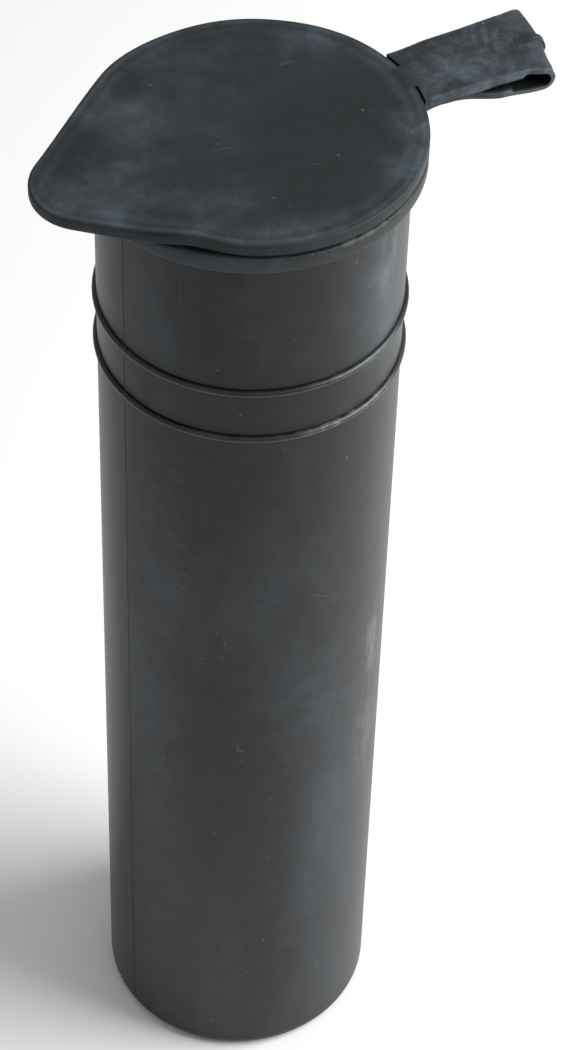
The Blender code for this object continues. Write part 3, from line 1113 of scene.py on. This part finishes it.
# %% Colour the rubber in layers
STREAKS = 7
HIDDEN_FROM = 0.8
SCRATCH_COLOUR_PART = 0.30
GRIT_SCALE, GRIT_SIZE, GRIT_MORE = 800.0, 0.24, 2.5
DUST_SCALE, DUST_SIZE, DUST_MORE = 1100.0, 0.17, 1.3


def lay_scuffs_and_highlight(tree, place, stretched, patch_scale, colour, scuffs_and_highlight):
    """Rub pale streaks into the colour: scuffs, and on the flange a painted highlight along its lip."""
    streaks = placed(tree, patches, stretched, Scale=patch_scale * STREAKS, Detail=5.0,
                     From=0.44, To=0.62)
    for centre, reach, strength in scuffs_and_highlight:
        scuff_and_highlight_mask = product(tree, spot_mask(tree, place, centre, reach), streaks, strength)
        colour = tint(tree, scuff_and_highlight_mask, colour, SCUFF_AND_HIGHLIGHT)
    return colour


def paint_inner_face_shade(tree, colour, hidden):
    """Paint shade on the strap's inner face, inside the loop. The attribute named hidden is 1 on that face.
    """
    depth = node(tree, "ShaderNodeAttribute", attribute_name=hidden).outputs["Fac"]
    shade = node(tree, "ShaderNodeMapRange", interpolation_type="SMOOTHSTEP")
    shade.inputs["From Min"].default_value = HIDDEN_FROM
    tree.links.new(depth, shade.inputs["Value"])
    return tint(tree, shade.outputs["Result"], colour, PAINTED_INNER_SHADE)


def lay_dirt(tree, place, lines, colour, speck_share):
    """Put scratches, rusty grit and grey dust over the colour."""
    colour = tint(tree, maths(tree, "MULTIPLY", lines, SCRATCH_COLOUR_PART), colour, BLOOM_AND_HIGHLIGHT)
    grit = placed(tree, specks, place, Scale=GRIT_SCALE, Size=GRIT_SIZE,
                  Share=speck_share * GRIT_MORE)
    colour = tint(tree, grit, colour, RUST_DUST)
    dots = placed(tree, specks, place, Scale=DUST_SCALE, Size=DUST_SIZE,
                  Share=speck_share * DUST_MORE)
    return tint(tree, dots, colour, DUST)


print("grit cells:", GRIT_SCALE, "dust cells:", DUST_SCALE)

# %% [markdown]
# The surface is not smooth either. One height holds the grain and the dents, with the
# scratches cut into it, and it goes through a Bump node. Where the strap starts to bend, small
# creases run across it, and a wave pattern inside a soft spot gives them.

# %% Build the surface's height
GRAIN_SCALE = 1400.0
GRAIN_DENTS = 0.8
GRAIN_HEIGHT = 0.08 * MM
SCRATCH_CUT = 0.4
CREASE_TURN = 20
CREASE_SCALE = 190.0


def crease_height(tree, place, centre, reach, strength):
    """Small creases side by side within a soft spot."""
    turned = node(tree, "ShaderNodeMapping")
    turned.inputs["Rotation"].default_value = (0, 0, math.radians(CREASE_TURN))
    tree.links.new(place, turned.inputs["Vector"])
    wave = node(tree, "ShaderNodeTexWave", bands_direction="X")
    wave.inputs["Scale"].default_value = CREASE_SCALE
    wave.inputs["Distortion"].default_value = 3.0
    wave.inputs["Detail"].default_value = 2.0
    wave.inputs["Detail Scale"].default_value = 0.6
    tree.links.new(turned.outputs["Vector"], wave.inputs["Vector"])
    spot = spot_mask(tree, place, centre, reach)
    return product(tree, wave.outputs["Fac"], spot, strength)


def bump_normal(tree, place, lines, bump, creases):
    """The grain, the scratches and any creases, as a normal for the shader."""
    surface = node(tree, "ShaderNodeBump")
    surface.inputs["Strength"].default_value = bump
    surface.inputs["Distance"].default_value = GRAIN_HEIGHT
    height = placed(tree, grain, place, Scale=GRAIN_SCALE, Dents=GRAIN_DENTS)
    height = maths(tree, "SUBTRACT", height, maths(tree, "MULTIPLY", lines, SCRATCH_CUT))
    if creases is not None:
        height = maths(tree, "ADD", height, crease_height(tree, place, *creases))
    tree.links.new(height, surface.inputs["Height"])
    return surface.outputs["Normal"]


print("grain height, mm:", GRAIN_HEIGHT / MM)

# %% [markdown]
# One function puts the parts together. Its inputs are what can differ between two pieces of
# the same rubber. A mapping can stretch the broad clouds and the scratches along one axis, as
# the tube needs.

# %% Put a rubber material together
SCRATCH_SCALE = 130.0
SCRATCH_WIDTH = 0.0028


def rubber(name, base, bloom_share, roughness, bloom_rough=0.12, stretch=(1, 1, 1),
           patch_scale=70.0, speck_share=0.012, bump=0.25, gloss=0.35, blooms_and_highlight=(), cleans_and_shade=(),
           scuffs_and_highlight=(), rim=None, worn=(), hidden=None, creases=None):
    """A rubber material. Spots are (centre, reach, strength), with places in millimetres."""
    material = bpy.data.materials.new(name)
    material.use_nodes = True
    tree = material.node_tree
    shader = tree.nodes["Principled BSDF"]
    shader.inputs["Specular IOR Level"].default_value = gloss
    place = node(tree, "ShaderNodeTexCoord").outputs["Object"]
    mapping = node(tree, "ShaderNodeMapping")
    mapping.inputs["Scale"].default_value = stretch
    tree.links.new(place, mapping.inputs["Vector"])
    stretched = mapping.outputs["Vector"]

    clouds, broken = cloud_masks(tree, place, stretched, patch_scale)
    mask = maths(tree, "MULTIPLY", clouds, bloom_share)
    mask = lay_spots(tree, place, mask, broken, blooms_and_highlight, cleans_and_shade)
    if rim is not None:
        mask = lay_worn_lines(tree, mask, broken, rim, worn)

    colour = tint(tree, mask, base, BLOOM_AND_HIGHLIGHT)
    colour = lay_scuffs_and_highlight(tree, place, stretched, patch_scale, colour, scuffs_and_highlight)
    if hidden is not None:
        colour = paint_inner_face_shade(tree, colour, hidden)
    lines = placed(tree, scratches, stretched, Scale=SCRATCH_SCALE, Thickness=SCRATCH_WIDTH)
    colour = lay_dirt(tree, place, lines, colour, speck_share)
    tree.links.new(colour, shader.inputs["Base Color"])

    rough = maths(tree, "ADD", maths(tree, "MULTIPLY", mask, bloom_rough), roughness)
    tree.links.new(rough, shader.inputs["Roughness"])
    normal = bump_normal(tree, place, lines, bump, creases)
    tree.links.new(normal, shader.inputs["Normal"])
    return material


print("scratch scale:", SCRATCH_SCALE, "and width:", SCRATCH_WIDTH)

# %% [markdown]
# ## Where the wear and the painted light are
# Each spot is given as (centre, reach, strength). Blooms add bloom, cleans wipe it off and
# scuffs rub pale streaks in. On the tube a place is easier to give as an angle round it and a
# height.
# On the tube, the bloom at 206 degrees is a painted highlight right of the seam and the clean at 178 degrees
# is painted shade left of it. On the flange the scuff along the lip is wear and a painted highlight.

# %% List the bloomed, rubbed and clean spots, with the painted highlights and shade among them
def on_tube(azimuth, z):
    """A place on the tube's wall, in millimetres, from its azimuth in degrees and its height."""
    return (TUBE_R / MM * math.cos(math.radians(azimuth)),
            TUBE_R / MM * math.sin(math.radians(azimuth)), z)


# The bloom at 206 degrees is a painted highlight: a lighter band right of the mould seam.
TUBE_BLOOMS_AND_HIGHLIGHT = [(on_tube(206, 95), (8, 8, 150), 0.35), (on_tube(288, 70), (13, 13, 80), 0.26),
               (on_tube(254, 121), (8, 8, 14), 0.13), (on_tube(272, 96), (12, 12, 24), 0.14),
               (on_tube(302, 180), (8, 8, 18), 0.8), (on_tube(40, 110), (16, 16, 60), 0.45),
               (on_tube(120, 60), (14, 14, 50), 0.45)]
TUBE_SCUFFS = [(on_tube(314, 98), (6, 6, 14), 0.34), (on_tube(308, 76), (6, 6, 20), 0.14),
               (on_tube(305, 186), (5, 5, 10), 0.15), (on_tube(70, 150), (8, 8, 12), 0.2),
               (on_tube(150, 120), (7, 7, 16), 0.16)]
# The clean at 178 degrees is painted shade: a darker band left of the mould seam.
TUBE_CLEANS_AND_SHADE = [(on_tube(291, 150), (4.5, 4.5, 24), 1.0), (on_tube(178, 100), (9, 9, 160), 0.9)]
LID_BLOOMS = [((-17, 9, 199), (10, 8, 6), 0.5), ((-22, -4, 199), (12, 11, 6), 0.62),
              ((-30, -1, 199), (8, 9, 6), 0.3), ((-13, -13, 199), (11, 9, 6), 0.36),
              ((21, -10, 199), (5, 8, 6), 0.8), ((15, 16, 199), (10, 6, 6), 0.4),
              ((-3, -22, 199), (14, 4, 6), 0.3), ((16, -17, 199), (8, 5, 6), 0.6),
              ((-2, 18, 199), (12, 7, 6), 0.2)]
LID_CLEANS = [((10, 2, 199), (17, 15, 8), 0.9), ((2, -12, 199), (13, 9, 8), 0.7),
              ((-24, 9, 199), (7, 3.5, 8), 0.9)]
STRAP_BLOOMS = [((33, 0, 200), (9, 9, 6), 0.6), ((40, 3, 200), (7, 7, 6), 0.55)]
STRAP_CLEANS = [((24.5, 1.5, 199.5), (3.2, 5, 4), 0.7), ((47.5, 2, 199.5), (3, 9, 4), 0.6)]
LID_WORN = ((0.9, 0.7, 0.6), (2.6, 1.4, 0.25))
STRAP_WORN = ((-0.98, 0.05, 0.9), (0.98, 0.05, 0.5))
STRAP_CREASES = ((40.5, 4.5, 200.5), (5, 4.5, 3), 5.0)
print("spots on the tube:", len(TUBE_BLOOMS_AND_HIGHLIGHT) + len(TUBE_SCUFFS) + len(TUBE_CLEANS_AND_SHADE))

# %% [markdown]
# ## Mix the six finishes
# The tube has the darkest base, and the thin hoops on it are the glossiest pieces. The lid and
# the strap are the most matte and the most worn. The flange has collected the most dust. The
# plug stays inside the mouth, so it has no wear of its own.

# %% Mix the finishes and put them on the pieces
FINISHES = {
    "tube_rubber": rubber("tube_rubber", (0.0066, 0.0078, 0.0082), 0.24, 0.38,
                          stretch=(1, 1, 0.35), patch_scale=45.0, gloss=0.24,
                          blooms_and_highlight=TUBE_BLOOMS_AND_HIGHLIGHT, cleans_and_shade=TUBE_CLEANS_AND_SHADE, scuffs_and_highlight=TUBE_SCUFFS),
    "rib_rubber": rubber("rib_rubber", (0.0095, 0.0110, 0.0115), 0.40, 0.30, gloss=0.45,
                         scuffs_and_highlight=[(on_tube(285, 163), (16, 16, 8), 0.5)]),
    # The flange's scuff, a thin pale band along its lip at the right front, is wear and a painted highlight.
    "flange_rubber": rubber("flange_rubber", (0.0130, 0.0150, 0.0155), 0.45, 0.48,
                            speck_share=0.05, gloss=0.25,
                            scuffs_and_highlight=[(on_tube(284, 197), (12, 12, 0.8), 0.18)]),
    "lid_rubber": rubber("lid_rubber", (0.0128, 0.0165, 0.0178), 0.24, 0.58,
                         patch_scale=55.0, bump=0.4, gloss=0.24, blooms_and_highlight=LID_BLOOMS,
                         cleans_and_shade=LID_CLEANS, rim="rim", worn=LID_WORN),
    # The strap's inner face, where depth is 1, gets painted shade.
    "strap_rubber": rubber("strap_rubber", (0.0135, 0.0172, 0.0186), 0.75, 0.54,
                           patch_scale=120.0, bump=0.4, gloss=0.3, blooms_and_highlight=STRAP_BLOOMS,
                           cleans_and_shade=STRAP_CLEANS, hidden="depth", rim="across",
                           worn=STRAP_WORN, creases=STRAP_CREASES),
    "plug_rubber": rubber("plug_rubber", (0.0130, 0.0140, 0.0145), 0.3, 0.38),
}
for piece, finish in ((tube, "tube_rubber"), (hoop, "rib_rubber"), (lower_hoop, "rib_rubber"),
                      (flange, "flange_rubber"), (lid, "lid_rubber"), (plug, "plug_rubber"),
                      (strap_root, "strap_rubber"), (strap_bend_low, "strap_rubber"),
                      (strap_bend_high, "strap_rubber"), (strap_neck, "strap_rubber")):
    piece.data.materials.clear()
    piece.data.materials.append(FINISHES[finish])
print("finishes:", sorted(FINISHES))

# %% [markdown]
# ## Attach the pieces to the moving bodies
# The frame's bodies carry the pieces when a hinge turns. A stiff piece rides on one body. A
# soft piece that crosses a hinge is blended from one body to the next between two points, so
# that it bends there. The CAD pieces that they stand in for are hidden.

# %% Attach the pieces
for piece, body in ((tube, "tube"), (hoop, "tube"), (lower_hoop, "tube"), (flange, "tube"),
                    (plug, "lid")):
    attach(piece, body)
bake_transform(lid, "lid", "tab", start=(-21.5 * MM, 0, LID_TOP), end=(-26.5 * MM, 0, LID_TOP))
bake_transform(strap_root, "tube", "strap_lower", start=(26.4 * MM, 0, flange_low.z),
         end=(30 * MM, 0, flange_low.z))
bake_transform(strap_bend_low, "strap_lower", "fold",
         start=(FOLD_X, 0, FOLD_Z - FOLD_R),
         end=Vector((FOLD_X, 0, FOLD_Z)) + Vector((FOLD_R, 0, 0)))
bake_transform(strap_bend_high, "fold", "strap_upper",
         start=Vector((FOLD_X, 0, FOLD_Z)) + Vector((FOLD_R, 0, 0)),
         end=(FOLD_X, 0, FOLD_Z + FOLD_R))
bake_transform(strap_neck, "strap_upper", "lid", start=(29.5 * MM, 0, LID_TOP),
         end=(LID_R + SLIT_W, 0, LID_TOP))
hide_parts("lid_plug", "plug_seal_bead")
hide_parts("strap_lower_leaf")
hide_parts("strap_lower_leaf", "strap_fold")
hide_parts("strap_fold", "strap_upper_leaf")
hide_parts("strap_upper_leaf")
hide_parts("tube_wall", "tube_floor")
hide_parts("upper_rib")
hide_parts("lower_rib")
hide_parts("mouth_flange")
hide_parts("lid_plate", "pull_tab")
print("pieces that bend:", [piece.name for piece in (lid, strap_root, strap_bend_low,
                                                     strap_bend_high, strap_neck)])

# %% [markdown]
# ## A floor and soft light
# Black rubber shows its shape only by what it reflects. One large soft light high at the right
# draws the bright side of the tube, a weak one overhead lifts the lid, and a pale floor under
# an even sky keeps the shadows open.

# %% Set the floor and the lights
FLOOR_COLOUR = (0.90, 0.90, 0.89, 1)
SKY_STRENGTH = 0.38
LIGHT_AIM = (0, 0, 0.1)
bpy.ops.mesh.primitive_plane_add(size=6, location=(0, 0, 0))
floor = bpy.context.active_object
floor.name = "studio_floor"
pale = bpy.data.materials.new("pale_floor")
pale.use_nodes = True
pale_shader = pale.node_tree.nodes["Principled BSDF"]
pale_shader.inputs["Base Color"].default_value = FLOOR_COLOUR
pale_shader.inputs["Roughness"].default_value = 0.9
floor.data.materials.append(pale)
world = bpy.data.worlds.new("studio")
bpy.context.scene.world = world
world.use_nodes = True
sky = world.node_tree.nodes["Background"]
sky.inputs["Color"].default_value = (1, 1, 1, 1)
sky.inputs["Strength"].default_value = SKY_STRENGTH


def soft_light(name, spot, side, power):
    """A square area light that looks at the tube. Lengths are in metres, the power in watts."""
    data = bpy.data.lights.new(name, "AREA")
    data.shape = "SQUARE"
    data.size = side
    data.energy = power
    light = bpy.data.objects.new(name, data)
    bpy.context.collection.objects.link(light)
    light.location = spot
    towards_tube = Vector(LIGHT_AIM) - Vector(spot)
    light.rotation_euler = towards_tube.to_track_quat("-Z", "Y").to_euler()


soft_light("key_softbox", (0.55, -0.30, 0.55), 0.6, 9.5)
soft_light("overhead", (0.2, 0.1, 1.5), 1.2, 2.5)
bpy.context.scene.view_settings.view_transform = "Standard"
print("lights:", [light.name for light in bpy.data.lights])
